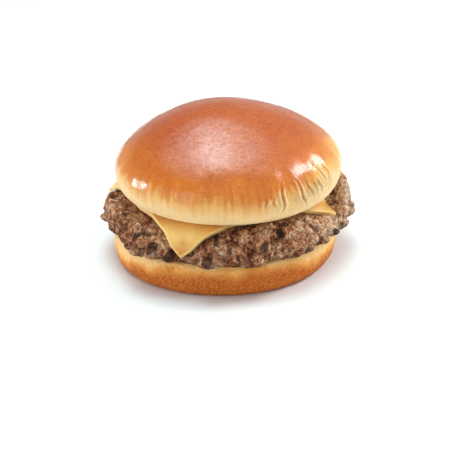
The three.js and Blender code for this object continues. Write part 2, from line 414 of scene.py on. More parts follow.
# %% [markdown]
# Now the patty itself. Its outline is flat above and below and has a rounded rim. The rim is packed with
# points half a millimetre apart, because that is where the mince shows, while the hidden flats have far
# fewer. After the crumbs and lobes come the two things that its neighbours do to it: it lies on the
# heel's cut face, and it stays below the slice and the crown.

# %% The patty's sizes
PATTY_RADIUS = 0.061
PATTY_FLAT_RADIUS = 0.043  # level on top out to here
PATTY_UNDERSIDE_RADIUS = 0.054  # level underneath out to here
PATTY_WIDEST = 0.0055  # height of the outermost line above the underside
PATTY_SAG = 0.0006  # how far the rim sinks beyond the heel
SAG_FROM = (-0.002, 0.006)  # it sinks between these distances past the heel's side
FLOOR_ENDS = (0.0015, 0.004)  # and the heel stops holding it up between these
PATTY_CLIMB = 1.2  # how steeply the meat may rise beside the slice
COARSE_CRUMBS = [(0.0075, 0.002), (0.0042, 0.0013)]  # size and height
FINE_CRUMBS = [(0.0026, 0.0011), (0.0014, 0.0005)]
COARSE_FROM = (0.034, 0.054)  # reaches between which the coarse crumbs grow to their full height
FINE_FROM = (0.036, 0.05)
CRUMBS_SETTLE = 0.0019  # how deep the coarse crumbs are set into the rim
FINE_SETTLE = 0.6  # the same for the finer ones, as a share of their height
HEAP = 0.0199  # the underside's height in the endless heap of crumbs
PATTY_STEP = 0.00052  # from point to point along the rim
PATTY_SECTORS = 760
patty_widest = patty_base + PATTY_WIDEST
print("the patty's underside, widest line and top in mm:",
      [round(1000 * z, 2) for z in (patty_base, patty_widest, patty_top)])

# %% [markdown]
# Pressed meat doesn't stay round. The rim wanders in lobes, it splits where the meat was dry, it rises
# where it curled on the grill, and round lumps squeeze out along the lower edge. The largest of these can
# be told apart by anyone who looks at the burger, so each has its own row with a direction, a size and
# how far it stands out.

# %% Lobes, splits and lumps
PATTY_SWELL = [(8, 0.0004, 30), (13, 0.00045, 3)]
# Lobes that stand out of the round and splits that go in: direction, half width, how far out.
PATTY_LOBES = [
    (12, 24, 0.0039), (60, 20, 0.0015), (105, 16, -0.0015), (140, 18, 0.0015), (180, 16, 0.0026),
    (203, 5, -0.002), (219, 9, 0.002), (249, 9, -0.0036), (280, 8, 0.0016), (293, 5, -0.002),
    (322, 13, -0.0016), (338, 4, -0.0016),
]
# Where the shoulder of the rim stands higher: direction, half width, how far up.
PATTY_RISES = [(9, 24, 0.0075), (172, 14, 0.0025), (285, 30, 0.001)]
RISE_FROM = (0.042, 0.054)  # reaches between which it comes to its full height
RISE_WITHIN = 0.006  # the same, upwards from the widest line
BESIDE_SLICE = (0.003, 0.007)  # between these distances outside the slice, the meat rises beside it
# Round lumps along the lower edge: direction, height above the underside, size, how far out. Those in
# front are placed one by one, and the rest follow each other round the back by an uneven rule.
KNOBS = [
    (-152.7, 0.0052, 0.0034, 0.0006), (-143, 0.0030, 0.0028, 0.0007), (-135.5, 0.0034, 0.0034, 0.0018),
    (-127.3, 0.0036, 0.0038, 0.0021), (-118.2, 0.0032, 0.0042, 0.0023), (-100.6, 0.0026, 0.0044, 0.0022),
    (-91.6, 0.0028, 0.0026, 0.0011), (-84, 0.0020, 0.0024, 0.0008), (-78, 0.0026, 0.0030, 0.0010),
    (-66, 0.0030, 0.0030, 0.0010), (-57, 0.0026, 0.0030, 0.0011), (-48, 0.0024, 0.0028, 0.0012),
    (-37, 0.0020, 0.0036, 0.0020), (-27, 0.0030, 0.0030, 0.0012), (-17, 0.0034, 0.0034, 0.0014),
    *[(turn + 3 * math.sin(7 * turn), 0.0032 + 0.0012 * math.sin(turn),
       0.0032 + 0.0008 * math.cos(2 * turn), 0.0010 + 0.0005 * math.cos(3 * turn))
      for turn in range(-6, 200, 10)],
]
KNOBS_SETTLE = 0.0012  # how far the rim draws back to make room for them
KNOB_REACH = 2.3  # how much further out the lumps stand than their rows say
KNOB_EDGE = 0.3  # share of a lump's size over which its edge runs out
COARSE_ON_KNOB = 0.4  # share of the crumbs' height that is left on a lump
FINE_ON_KNOB = 0.3
print("round lumps along the rim:", len(KNOBS))

# %% Draw the patty's outline


def patty_outline():
    under = quarter((PATTY_UNDERSIDE_RADIUS, patty_widest), PATTY_RADIUS - PATTY_UNDERSIDE_RADIUS,
                    PATTY_WIDEST, -90, 0)
    shoulder = quarter((PATTY_FLAT_RADIUS, patty_widest), PATTY_RADIUS - PATTY_FLAT_RADIUS,
                       patty_top - patty_widest, 0, 90)
    rim = evenly([(0.046, patty_base)] + under + shoulder[1:], PATTY_STEP)
    inside = [(0, patty_base), (0.03, patty_base), (0.04, patty_base)]
    return inside + rim + evenly([(PATTY_FLAT_RADIUS, patty_top), (0, patty_top)], 0.0022)[1:]


# %% [markdown]
# The meat is shaped in two passes, because each pass pushes the points along the surface's normals, and
# the fine crumbs need the normals of the coarse ones. After each pass the meat settles between its
# neighbours.

# %% Helpers for the patty


def past_heel(points):
    """How far each point lies outside the heel's side."""
    return np.hypot(*(points[:, :2] - HEEL_OFFSET).T) - HEEL_RADIUS


def settle_between(points):
    """Rests the meat on the heel, and keeps it below the slice and the crown."""
    floor = patty_base - PATTY_SAG * smoothstep(past_heel(points), *FLOOR_ENDS)
    under_slice, outside = slice_over(points)
    ceiling = np.minimum(under_slice + PATTY_CLIMB * np.maximum(0, outside - 0.001), crown_base - GAP)
    points[:, 2] = np.minimum(np.maximum(points[:, 2], floor), np.maximum(ceiling, floor))
    return points


def in_heap(points):
    """The points' places in the endless heap of coarse crumbs."""
    return points + [0, 0, HEAP - patty_base]


def bent_cells(points):
    """Places for the finer crumbs, bent by a slow wave so that no two crumbs look alike."""
    return points + 0.0009 * np.sin(points[:, [1, 2, 0]] / 0.0021)


def spots(points, rows):
    """How near each point is to a spot's middle, 0 outside, for (direction, height, size, ...) rows."""
    angle = direction_of(points)
    for direction, height, size, *rest in rows:
        off = turn_from(angle, direction) * PATTY_RADIUS
        far = np.hypot(off, points[:, 2] - patty_base - height) / size
        yield np.clip(1 - far, 0, 1), *rest


def nearest_spot(points, rows):
    return np.max([near for near, *_ in spots(points, rows)], 0)


# %% Shape the patty


def shape_patty(points, normals):
    reach = np.hypot(points[:, 0], points[:, 1])
    angle = direction_of(points)
    rim = smoothstep(reach, *COARSE_FROM)

    # What each point is due: lobes, crumbs, a raised shoulder and round lumps.
    stretch = rim * (waves(angle, PATTY_SWELL) + bumps(angle, PATTY_LOBES)) / np.maximum(reach, 1e-6)
    heap = in_heap(points)
    grain = sum(height * mince(heap, size)[0] for size, height in COARSE_CRUMBS) - CRUMBS_SETTLE
    raised = smoothstep(points[:, 2], patty_widest, patty_widest + RISE_WITHIN)
    raised *= smoothstep(reach, *RISE_FROM) * bumps(angle, PATTY_RISES)
    domes = [size * np.sqrt(1 - (1 - near) ** 2) for near, size in spots(points, KNOBS)]
    knobs = np.max(domes, 0)
    grain *= 1 - (1 - COARSE_ON_KNOB) * smoothstep(nearest_spot(points, KNOBS), 0, KNOB_EDGE)

    # The crumbs push out along the normals, and the lumps and lobes straight outwards.
    points += normals * (rim * (grain - KNOBS_SETTLE))[:, None]
    points[:, :2] *= 1 + (KNOB_REACH * knobs / np.maximum(reach, 0.01))[:, None]
    points[:, :2] *= 1 + stretch[:, None]
    points[:, 2] += raised
    points[:, 2] -= PATTY_SAG * smoothstep(past_heel(points), *SAG_FROM)

    # Beside the slice, the top of the meat rises by the slice's thickness.
    upper = smoothstep(points[:, 2], patty_widest, patty_top)
    upper *= smoothstep(reach, PATTY_FLAT_RADIUS - 0.001, PATTY_FLAT_RADIUS + 0.005)
    points[:, 2] += SLICE_THICKNESS * upper * smoothstep(slice_over(points)[1], *BESIDE_SLICE)
    return settle_between(points)


def roughen_patty(points, normals):
    """Adds the finer crumbs, less on the round lumps."""
    cells = bent_cells(points)
    rim = smoothstep(np.hypot(points[:, 0], points[:, 1]), *FINE_FROM)
    rim *= 1 - (1 - FINE_ON_KNOB) * smoothstep(nearest_spot(points, KNOBS), 0, KNOB_EDGE)
    for size, height in FINE_CRUMBS:
        points += normals * (rim * height * (mince(cells, size)[0] - FINE_SETTLE))[:, None]
    return settle_between(points)


patty = spin_food("minced_patty", patty_outline(), PATTY_SECTORS)
sculpt(patty, shape_patty)
sculpt(patty, roughen_patty)
report(patty)

# %% [markdown]
# The material will need to know where the creases are and which crumb is which, so both are stored on the
# points while the patty still stands on its own axis. Some crumbs caught the grill and charred. They are
# placed by direction and height, and their darkness fades out over a few millimetres.

# %% Store the crumbs, the creases and the char
# Charred crumbs: direction in degrees, height above the underside, and size.
CHARRED = [
    (-137.7, 0.0098, 0.0036), (-127.6, 0.0072, 0.0042), (-117.5, 0.0052, 0.0042), (-99.7, 0.0048, 0.0040),
    (-95.8, 0.0130, 0.0026), (-73.5, 0.0100, 0.0044), (-63.3, 0.0135, 0.0032), (-28, 0.0040, 0.0030),
    (20, 0.0090, 0.0040), (64, 0.0060, 0.0046), (98, 0.0110, 0.0040), (131, 0.0060, 0.0036),
    (158, 0.0100, 0.0042),
]
# Where the meat is painted paler, as painted light from the sides: direction, half width and share.
PAINTED_SIDE_LIGHT = [(-14, 32, 2.1), (205, 30, 0.1), (-125, 14, 0.5), (-70, 35, 0.4)]


def store_grain(points, normals):
    coarse, coarse_number = mince(in_heap(points), COARSE_CRUMBS[1][0])
    fine, fine_number = mince(bent_cells(points), FINE_CRUMBS[0][0])
    finest = mince(bent_cells(points), FINE_CRUMBS[1][0])[0]
    knob = nearest_spot(points, KNOBS)
    # Painted shade: the creases between crumbs and a ring round each lump are stored as dark, where shade
    # falls.
    round_knobs = between(knob, 0, 0.05, 0.05, 0.22)
    creases = np.maximum(1 - smoothstep(coarse, 0.3, 0.6), 0.8 * (1 - smoothstep(fine, 0.3, 0.65)))
    creases = np.maximum(creases, 0.5 * (1 - smoothstep(finest, 0.2, 0.6)))
    paint(patty, "crease", np.maximum(creases * (1 - 0.6 * knob), round_knobs))
    paint(patty, "crumb", 0.5 * coarse_number + 0.5 * fine_number)
    paint(patty, "char", smoothstep(nearest_spot(points, CHARRED), 0.15, 0.6))
    # Painted light: the meat is paler where the light from the sides falls.
    paint(patty, "pale", bumps(direction_of(points), PAINTED_SIDE_LIGHT))
    points[:, :2] += burger_axis
    return points


sculpt(patty, store_grain)
smooth(patty)

# %% [markdown]
# ## The slice of cheese
#
# Processed cheese is an even square sheet with cut edges, which warmth has made limp. A grid is the right
# start, because it bends evenly, and Solidify gives it its thickness only after it is bent, so that the
# edge stands square to the sheet everywhere. Before that the outline is let go a little out of straight,
# as a soft edge is. A small bevel then takes off the sharpness that real cheese never has.

# %% Make the slice
SLICE_CELLS = 90
EDGE_WANDER = 0.0005  # how far the soft edge strays
STRAY_WAVES = [(0.0061, 1.3, 1), (0.0027, 0, 0.5)]  # of which waves: length, start and share
EDGE_SOFTNESS = 0.0006  # width of the bevel on the cut edges
EDGE_BELLY = 0.0010  # how far the front right edge bulges
BELLY_MIDDLE = 0.25  # where along the edge, as a share of half a side
CORNER_RIPPLE = 0.0005  # height of the ripples on the right corner's back edge
RIPPLE_TURNS = 56  # radians of ripple in half a side


def lay_slice(points, normals):
    # While the slice is flat, its edges are let out of straight.
    half = SLICE_SIDE / 2
    other_way = points[:, [1, 0]]
    stray = [share * np.sin(other_way / length + start) for length, start, share in STRAY_WAVES]
    stray = EDGE_WANDER * sum(stray)
    across, along = points[:, 0] / half, points[:, 1] / half
    paint(cheese, "rim", smoothstep(np.maximum(np.abs(across), np.abs(along)), 0.985, 1))
    points[:, :2] *= 1 + stray / half * np.abs(points[:, :2] / half) ** 6
    at_corner = smoothstep(-across, 0.8, 1) * smoothstep(along, 0.45, 0.65)
    ripple = at_corner * (0.5 + 0.5 * np.sin(along * RIPPLE_TURNS))
    belly = smoothstep(along, 0.7, 1) * smoothstep(np.abs(across - BELLY_MIDDLE), 0.55, 0.15)
    points[:, 1] += EDGE_BELLY * belly

    # Then it is turned, and bent down along both diagonals.
    front = (points[:, 0] + points[:, 1]) / math.sqrt(2) + SLICE_SHIFT[0]
    right = (points[:, 1] - points[:, 0]) / math.sqrt(2) + SLICE_SHIFT[1]
    front_reach, front_drop, _ = bend_forward(front, "front", "back")
    right_reach, right_drop, _ = bend_forward(right, "right", "left")
    places = np.outer(front_reach, front_way) + np.outer(right_reach, right_way)
    points[:, :2] = burger_axis + places
    points[:, 2] = slice_middle - front_drop - right_drop - hang_at(front_reach, right_reach)
    points[:, 2] += CORNER_RIPPLE * ripple
    return points


deselect_all()
bpy.ops.mesh.primitive_grid_add(x_subdivisions=SLICE_CELLS, y_subdivisions=SLICE_CELLS, size=SLICE_SIDE)
cheese = bpy.context.object
cheese.name = cheese.data.name = "drooping_slice"
sculpt(cheese, lay_slice)
finish_with(cheese, "SOLIDIFY", thickness=SLICE_THICKNESS, offset=0)
finish_with(cheese, "BEVEL", width=EDGE_SOFTNESS, segments=3, limit_method="ANGLE",
            angle_limit=math.radians(50))
smooth(cheese)
report(cheese)

# %% [markdown]
# ## The crown of the bun
#
# The crown is a blown-up dome with a soft shoulder. Its crust is tight and glossy on top, and low on the
# front right the dough shrank as it cooled and pulled the skin into pleats that run up the side. A sphere
# would have the wrong shoulder and a sharp pole, so this is a spun outline again. The pleats come in two
# kinds: the broad waves that the solid has, and narrow creases with a raised lip, each with its own
# direction, lean and length.

# %% The crown's sizes
CROWN_RADIUS = 0.0563
CROWN_CUT_RADIUS = 0.048
CROWN_WIDEST = 0.0115  # height of its widest line above the cut
CROWN_LEAN = -0.0036  # how far its top stands to the right, so this one leans left
CROWN_SHOULDER = (20, 40, 0.0015)  # where the dome is fuller: direction, half width, how far out
# Bands up the crown, as shares of its height: from where, in full from, in full to, and to where.
SHOULDER_BAND = (0.1, 0.5, 0.6, 1)
CROWN_SWELL = [(2, 0.006, 30), (3, 0.006, 65), (4, 0.004, 10)]
CROWN_STEP = 0.001
CROWN_SECTORS = 720
DOME_DENTS = [("dome dents", 0.016, 0.0007)]
PLEAT_COUNT = 27
PLEAT_DEPTH = 0.0003
PLEAT_MIDDLE = -42
PLEAT_SPREAD = 30
PLEAT_ELSEWHERE = 0.3  # share of the pleats' depth away from their middle
PLEAT_BAND = (0.02, 0.2, 0.4, 0.7)

# %% [markdown]
# The creases are drawn one after another, as a pen would, because on a real bun no two are alike. Each
# one is a narrow groove with a raised lip on both sides, and it wanders a little from its line. Between
# them the skin is only crumpled, which is too fine for the mesh: the points are told where, and the
# material does the rest.

# %% Creases and crumpled skin
# Narrow creases: direction at the foot and lean in degrees, lowest and highest point as shares of the
# crown's height, and depth.
CREASES = [
    (-24.5, -3, 0.32, 0.46, 0.0006), (-29, -1, 0.26, 0.48, 0.0009), (-34.5, 0, 0.20, 0.52, 0.0015),
    (-38, -3, 0.22, 0.46, 0.0012), (-41, -4, 0.22, 0.42, 0.0009), (-44.5, -4, 0.22, 0.46, 0.00105),
    (-49.5, -5, 0.13, 0.48, 0.00135), (-53, 0.5, 0.18, 0.34, 0.00105), (-57.5, -1.5, 0.26, 0.44, 0.0006),
    (-64, 1.5, 0.12, 0.48, 0.00135), (-68.4, 0.5, 0.20, 0.40, 0.0012), (-72.5, -0.5, 0.22, 0.40, 0.0009),
    (-77, -0.5, 0.20, 0.34, 0.0006), (-83.5, 0.5, 0.18, 0.32, 0.0006), (-121, 1, 0.26, 0.42, 0.00075),
    (-108, 0, 0.20, 0.32, 0.00045), (-96, 0.5, 0.20, 0.33, 0.0006),
]
CREASE_WIDTH = 0.6  # degrees
CREASE_LIPS = [(1.3, 0.85), (-1.3, 0.68)]  # degrees from the crease, and height as a share of its depth
CREASE_WOBBLE = 0.6  # how far a crease wanders from its line, in degrees
# Where the skin is crumpled in fine wrinkles: direction, half width and share.
CRUMPLED = [(-45, 24, 0.9), (-137, 13, 0.4)]
CRUMPLED_BAND = (0.1, 0.3, 0.5, 0.62)

# %% Shape the crown


def crown_outline():
    shoulder = curve((CROWN_CUT_RADIUS, 0), (CROWN_CUT_RADIUS + 0.005, 0), (CROWN_RADIUS, 0.004),
                     (CROWN_RADIUS, CROWN_WIDEST))
    dome = curve((CROWN_RADIUS, CROWN_WIDEST), (CROWN_RADIUS, CROWN_WIDEST + 0.013),
                 (0.024, crown_height), (0, crown_height))
    flat_cut = evenly([(0, 0), (CROWN_CUT_RADIUS, 0)], HIDDEN_STEP)
    return flat_cut[:-1] + evenly(shoulder + dome[1:], CROWN_STEP)


def crease_depth(angle, lift):
    """How far the narrow creases push the crust in, less than 0, and how far their lips stand out."""
    depth = np.zeros(len(angle))
    for direction, lean, low, high, size in CREASES:
        along = np.clip((lift - low) / (high - low), 0, 1)
        centre = direction + lean * along + CREASE_WOBBLE * np.sin(9 * along + direction)
        fade = between(lift, low - 0.03, low + 0.10, high - 0.18, high)
        groove = bump(angle, centre, CREASE_WIDTH)
        lips = sum(share * bump(angle, centre + off, CREASE_WIDTH) for off, share in CREASE_LIPS)
        depth += size * fade * (lips - groove)
    return depth


def shape_crown(points, normals):
    angle = direction_of(points)
    lift = np.maximum(0, points[:, 2] / crown_height)
    stretch = 1 + waves(angle, CROWN_SWELL)

    # Creases and pleats push along the normals. The material is told of the creases and crumpled skin.
    depth = PLEAT_DEPTH * np.maximum(PLEAT_ELSEWHERE, bump(angle, PLEAT_MIDDLE, PLEAT_SPREAD))
    folds = crease_depth(angle, lift)
    paint(crown, "fold", 1000 * folds)
    paint(crown, "crumple", between(lift, *CRUMPLED_BAND) * bumps(angle, CRUMPLED))
    pleats = between(lift, *PLEAT_BAND) * depth * np.cos(PLEAT_COUNT * angle)
    points += normals * (pleats + folds)[:, None]

    # The dome swells out of round, is fuller on one side, and leans.
    fuller = bumps(angle, [CROWN_SHOULDER]) * between(lift, *SHOULDER_BAND)
    points[:, :2] *= stretch[:, None]
    points[:, :2] += fuller[:, None] * np.stack([np.cos(angle), np.sin(angle)], 1)
    points[:, 0] += CROWN_LEAN * lift**2.5
    points[:, :2] += crown_axis
    points[:, 2] += crown_base
    return points


crown = spin_food("crown_bread", crown_outline(), CROWN_SECTORS)
sculpt(crown, shape_crown)
lifts = np.array([v.co.z - crown_base for v in crown.data.vertices]) / crown_height
dent_crust(crown, smoothstep(lifts, 0.02, 0.12), DOME_DENTS)
smooth(crown)
report(crown)

# %% [markdown]
# ## Tools for the finishes
#
# Every finish here is worked out from where a point lies on the food, so nothing slides when the burger
# is turned. A few small helpers keep the node trees short: one adds a node and joins or sets its inputs,
# and the others are for mixing colours, doing sums and stretching a range. What several foods share
# becomes a node group with its own inputs, built once.

# %% Node helpers


def join(tree, node, inputs):
    """Links a node's inputs to sockets, or sets them to values."""
    for name, value in inputs.items():
        if isinstance(value, bpy.types.NodeSocket):
            tree.links.new(value, node.inputs[name])
        else:
            node.inputs[name].default_value = value


def add(tree, kind, inputs=None, **settings):
    """Adds a node, sets its properties, and joins or sets its inputs."""
    node = tree.nodes.new("ShaderNode" + kind)
    node.location.x = 180 * len(tree.nodes)
    for name, value in settings.items():
        setattr(node, name, value)
    join(tree, node, inputs or {})
    return node


def maths(tree, operation, a, b=0.0, c=0.0):
    return add(tree, "Math", {0: a, 1: b, 2: c}, operation=operation).outputs[0]


def plus(tree, a, b):
    return maths(tree, "ADD", a, b)


def times(tree, a, b):
    return maths(tree, "MULTIPLY", a, b)


def stretch_range(tree, value, low, high, to_low=0.0, to_high=1.0):
    """Maps a value's range to another with soft ends."""
    sockets = {"Value": value, "From Min": low, "From Max": high, "To Min": to_low, "To Max": to_high}
    return add(tree, "MapRange", sockets, interpolation_type="SMOOTHSTEP").outputs[0]


def tint(tree, share, a, b, mode="MIX"):
    """Mixes colour b over colour a by that share."""
    mix = add(tree, "Mix", {0: share, 6: a, 7: b}, data_type="RGBA", blend_type=mode, clamp_factor=True)
    return mix.outputs[2]


def colour(red, green, blue):
    """A colour as it looks on a screen, 0 to 255, in the linear numbers that sockets take."""
    shares = [c / 255 for c in (red, green, blue)]
    return (*[((c + 0.055) / 1.055) ** 2.4 if c > 0.04 else c / 12.92 for c in shares], 1)


def ramp(tree, value, stops):
    """A colour ramp of (place, colour) stops."""
    node = add(tree, "ValToRGB", {0: value})
    elements = node.color_ramp.elements
    elements.remove(elements[1])
    elements[0].position, elements[0].color = stops[0]
    for place, shade in stops[1:]:
        elements.new(place).color = shade
    return node.outputs[0]


def own_place(tree):
    """A point's place on its piece."""
    return add(tree, "TexCoord").outputs["Object"]


def place_along(tree, axis):
    """A point's own X, Y or Z."""
    return add(tree, "SeparateXYZ", {0: own_place(tree)}).outputs[axis]


def stored(tree, name):
    """A number painted on the points."""
    return add(tree, "Attribute", attribute_name=name).outputs["Fac"]


def relief(tree, height, distance, strength, over=None, inwards=False):
    """The normal of a relief, laid over another one if that is given."""
    inputs = {"Height": height, "Distance": distance, "Strength": strength}
    if over is not None:
        inputs["Normal"] = over
    return add(tree, "Bump", inputs, invert=inwards).outputs[0]


def new_group(name, inputs, outputs):
    """A node group with number inputs and their defaults, and number outputs."""
    group = bpy.data.node_groups.new(name, "ShaderNodeTree")
    for label, kind, default in inputs:
        socket = group.interface.new_socket(label, in_out="INPUT", socket_type="NodeSocket" + kind)
        socket.default_value = default
    for label in outputs:
        group.interface.new_socket(label, in_out="OUTPUT", socket_type="NodeSocketFloat")
    return group, group.nodes.new("NodeGroupInput"), group.nodes.new("NodeGroupOutput")


def use_group(tree, group, inputs):
    node = add(tree, "Group", node_tree=group)
    join(tree, node, inputs)
    return node


def new_material(name):
    """A material with only a Principled BSDF and its output."""
    material = bpy.data.materials.new(name)
    material.use_nodes = True
    material.node_tree.nodes.clear()
    shader = add(material.node_tree, "BsdfPrincipled")
    output = add(material.node_tree, "OutputMaterial", {"Surface": shader.outputs[0]})
    output.location.x = 3000
    shader.location.x = 2700
    return material, material.node_tree, shader


def dress(food, material):
    """Puts the finish on the piece."""
    food.data.materials.append(material)
    print(food.name, "wears", material.name, "of", len(material.node_tree.nodes), "nodes")


# %% [markdown]
# ### Three effects that the foods share
#
# *Oven mottle* is the soft unevenness of anything browned by heat: broad patches with finer specks. *Skin
# streaks* run up the side of a bun, where rising dough stretches its skin: the pattern is drawn on the
# direction from the food's axis, so it has no seam and stays as wide at every height. *Pores* are the
# small round pits of bread and of crumbly meat.

# %% Build the shared groups


def make_mottle():
    inputs = [("Patch Size", "Float", 0.01), ("Speck Size", "Float", 0.002)]
    group, given, result = new_group("Oven mottle", inputs, ["Patches", "Specks"])
    place = own_place(group)
    for label, output, detail in (("Patch Size", "Patches", 3), ("Speck Size", "Specks", 2)):
        scale = maths(group, "DIVIDE", 1.0, given.outputs[label])
        noise = add(group, "TexNoise", {"Vector": place, "Scale": scale, "Detail": detail})
        group.links.new(stretch_range(group, noise.outputs[0], 0.28, 0.72), result.inputs[output])
    return group


def make_streaks():
    inputs = [("Axis", "Vector", (0, 0, 0)), ("Across", "Float", 0.001), ("Along", "Float", 0.01)]
    group, given, result = new_group("Skin streaks", inputs, ["Streaks"])
    place = own_place(group)
    own = add(group, "VectorMath", {0: place, 1: given.outputs["Axis"]}, operation="SUBTRACT").outputs[0]
    parts = add(group, "SeparateXYZ", {0: own})
    flat = add(group, "CombineXYZ", {"X": parts.outputs["X"], "Y": parts.outputs["Y"]}).outputs[0]
    way = add(group, "VectorMath", {0: flat}, operation="NORMALIZE").outputs[0]
    round_scale = maths(group, "DIVIDE", CROWN_RADIUS, given.outputs["Across"])
    round_place = add(group, "VectorMath", {0: way, "Scale": round_scale}, operation="SCALE").outputs[0]
    up_scale = maths(group, "DIVIDE", parts.outputs["Z"], given.outputs["Along"])
    up = add(group, "CombineXYZ", {"Z": up_scale}).outputs[0]
    both = add(group, "VectorMath", {0: round_place, 1: up}, operation="ADD").outputs[0]
    noise = add(group, "TexNoise", {"Vector": both, "Scale": 1.0, "Detail": 2.0})
    group.links.new(stretch_range(group, noise.outputs[0], 0.25, 0.75), result.inputs["Streaks"])
    return group


def make_pores():
    inputs = [("Size", "Float", 0.001), ("Share", "Float", 0.5)]
    group, given, result = new_group("Pores", inputs, ["Pits"])
    place = own_place(group)
    scale = maths(group, "DIVIDE", 1.0, given.outputs["Size"])
    cells = add(group, "TexVoronoi", {"Vector": place, "Scale": scale, "Randomness": 1.0})
    pit = stretch_range(group, cells.outputs["Distance"], 0.38, 0.12)
    chosen = add(group, "SeparateXYZ", {0: cells.outputs["Color"]}).outputs["X"]
    kept = maths(group, "LESS_THAN", chosen, given.outputs["Share"])
    group.links.new(times(group, pit, kept), result.inputs["Pits"])
    return group


mottle_group, streaks_group, pores_group = make_mottle(), make_streaks(), make_pores()
print("shared groups:", [g.name for g in bpy.data.node_groups])

# %% [markdown]
# ### The heel's crust
#
# The heel was never glazed. Its side is matt and golden, browner and speckled towards the foot where it
# touched the tin, and a pale cream line of bare crumb shows along the knife's cut. Height alone would
# give hard rings, so the height is first pushed up and down by the mottle, and a colour ramp then turns
# it into the bake.

# %% Finish the heel


def make_heel_crust():
    material, tree, shader = new_material("golden heel crust")
    mottle = use_group(tree, mottle_group, {"Patch Size": 0.012, "Speck Size": 0.0012})
    specks = mottle.outputs["Specks"]
    streaks = use_group(tree, streaks_group, {"Axis": (*heel_axis, 0), "Across": 0.0016, "Along": 0.005})
    pores = use_group(tree, pores_group, {"Size": 0.0012, "Share": 1.0}).outputs[0]

    # The bake follows the height, and is deepest in front, where it reaches furthest up.
    height = maths(tree, "DIVIDE", place_along(tree, "Z"), heel_top)
    height = plus(tree, height, stretch_range(tree, place_along(tree, "Y"), -0.054, -0.03, -0.07, 0.2))
    pushed = maths(tree, "MULTIPLY_ADD", mottle.outputs["Patches"], 0.2, height)
    bake = ramp(tree, pushed, [
        (0.00, colour(168, 82, 20)), (0.25, colour(178, 84, 14)), (0.60, colour(178, 80, 6)),
        (0.80, colour(230, 154, 72)), (0.95, colour(251, 198, 118)), (1.00, colour(254, 212, 146)),
    ])

    # Paler freckles all over, and dark pores low down.
    freckles = times(tree, specks, stretch_range(tree, pushed, 0.9, 0.6, 0.3, 0.62))
    bake = tint(tree, freckles, bake, colour(230, 144, 60))
    dark_pores = times(tree, pores, stretch_range(tree, pushed, 0.95, 0.7, 0.0, 0.5))
    bake = tint(tree, dark_pores, bake, colour(150, 72, 20))
    grain = relief(tree, plus(tree, specks, streaks.outputs[0]), 0.0005, 0.6)
    pitted = relief(tree, pores, 0.0003, 0.5, over=grain, inwards=True)
    join(tree, shader, {
        "Base Color": bake, "Normal": pitted, "Roughness": 0.62, "Specular IOR Level": 0.2,
        "Subsurface Weight": 0.12, "Subsurface Scale": 0.002,
    })
    return material


dress(heel, make_heel_crust())

# %% [markdown]
# ### The grilled beef
#
# Grilled mince is many browns at once: each crumb has its own tone from tan to dark, the creases between
# them are painted dark as shade, a few crumbs are charred black, fat leaves a thin wet shine here and
# there, and the sides are painted paler as painted light.
# The tones come from the numbers stored on the points, so that colour and relief belong together, and
# noise breaks them up into the short strands of the mince. The wet shine is a coat whose weight follows
# the same noise.

# %% Finish the patty
STRAND_SIZE = 0.0018


def make_beef():
    material, tree, shader = new_material("grilled beef")
    mottle = use_group(tree, mottle_group, {"Patch Size": 0.007, "Speck Size": 0.0012})
    patches, specks = mottle.outputs["Patches"], mottle.outputs["Specks"]
    crumb = stored(tree, "crumb")
    noise = {"Vector": own_place(tree), "Scale": 1 / STRAND_SIZE, "Detail": 3.0, "Distortion": 0.8}
    strands = stretch_range(tree, add(tree, "TexNoise", noise).outputs[0], 0.3, 0.7)

    # The tone of the meat: each crumb's own, its strands, broad patches, and painted light on the sides.
    tone = maths(tree, "MULTIPLY_ADD", crumb, 0.3, times(tree, strands, 0.4))
    tone = maths(tree, "MULTIPLY_ADD", patches, 0.36, tone)
    tone = maths(tree, "MULTIPLY_ADD", stored(tree, "pale"), 0.16, tone)
    meat = ramp(tree, tone, [
        (0.20, colour(72, 32, 18)), (0.40, colour(134, 78, 50)), (0.56, colour(184, 124, 86)),
        (0.72, colour(216, 162, 120)), (0.90, colour(238, 204, 170)),
    ])

    # Some crumbs are redder and pits darker, the creases get painted shade, and the underside lies in
    # brown painted shade.
    meat = tint(tree, stretch_range(tree, crumb, 0.55, 0.8, 0.0, 0.35), meat, colour(150, 74, 44))
    meat = tint(tree, stretch_range(tree, specks, 0.4, 0.1, 0.0, 0.5), meat, colour(50, 26, 14))
    meat = tint(tree, times(tree, stored(tree, "crease"), 0.75), meat, colour(34, 17, 9))
    under = stretch_range(tree, place_along(tree, "Z"), patty_base - 0.001, patty_base + 0.007, 0.75, 0.0)
    meat = tint(tree, under, meat, colour(48, 26, 16))
    singed = maths(tree, "MULTIPLY_ADD", strands, 0.6, stored(tree, "char"))
    burnt = stretch_range(tree, singed, 0.5, 1.5, 0.0, 0.95)
    meat = tint(tree, burnt, meat, colour(38, 22, 16))

    # Fat shines in patches, but not on char.
    fatty = stretch_range(tree, patches, 0.4, 0.7, 0.0, 0.6)
    wet = times(tree, fatty, stretch_range(tree, strands, 0.55, 0.9))
    wet = times(tree, wet, maths(tree, "SUBTRACT", 1.0, burnt))
    join(tree, shader, {
        "Base Color": meat, "Normal": relief(tree, plus(tree, specks, strands), 0.0006, 0.85),
        "Roughness": 0.6, "Specular IOR Level": 0.12, "Coat Weight": wet, "Coat Roughness": 0.15,
    })
    return material


dress(patty, make_beef())

# %% [markdown]
# ### The cheese
#
# The slice is smooth and waxy: an even warm yellow with a soft sheen, and light that sinks in a little
# and comes out warmer. Subsurface scattering does the second part. A slight mottle keeps it from looking
# like plastic. The cut edges are painted pale as a painted highlight, and the slice has painted shade
# under the crown and on its far right, and is darker and browner towards its lowest corner.

# %% Finish the slice
STAIN = (-0.0222, -0.0520, 0.0285)  # where meat juice stained the front corner
STAIN_SIZE = 0.0036


